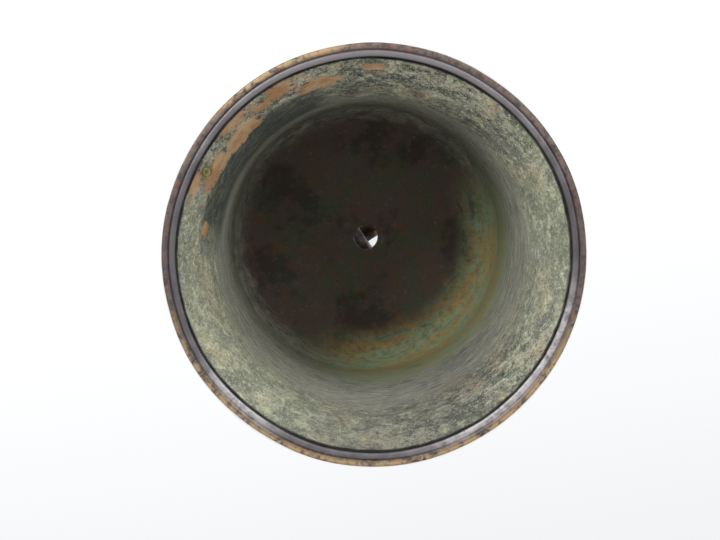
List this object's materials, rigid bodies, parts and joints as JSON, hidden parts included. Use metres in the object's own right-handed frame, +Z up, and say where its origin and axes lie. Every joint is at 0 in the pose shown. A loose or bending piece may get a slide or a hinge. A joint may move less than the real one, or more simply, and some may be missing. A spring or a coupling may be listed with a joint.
{
  "type": "temple bell",
  "caption": "Cast bronze temple bell with a flared mouth, lip ring, crown vent, hanging loop and free ring.",
  "frame": {"origin": "centre of the mouth, on the plane that the lip ring rests on", "axes": "+Z up the bell's axis to the crown; the hanging loop spans X"},
  "size_m": [0.24, 0.24, 0.2638],
  "materials": {
    "body_bronze": "aged bronze with green verdigris inside",
    "lip_bronze": "dark bronze rubbed to gold at the edge",
    "loop_bronze": "dark aged bronze",
    "ring_iron": "forged, dull grey with light rust",
    "plug_bronze": "aged yellow-green bronze"
  },
  "bodies": {
    "bell": {"bell_shell": "body_bronze", "lip_ring": "lip_bronze", "hanging_loop": "loop_bronze", "casting_plug": "plug_bronze"},
    "ring": {"hanging_ring": "ring_iron"}
  },
  "joints": [
    {"name": "ring_swing", "type": "hinge", "parent": "bell", "child": "ring", "pos_m": [-0.004, 0, 0.249], "axis": [1, 0, 0], "continuous": true}
  ]
}
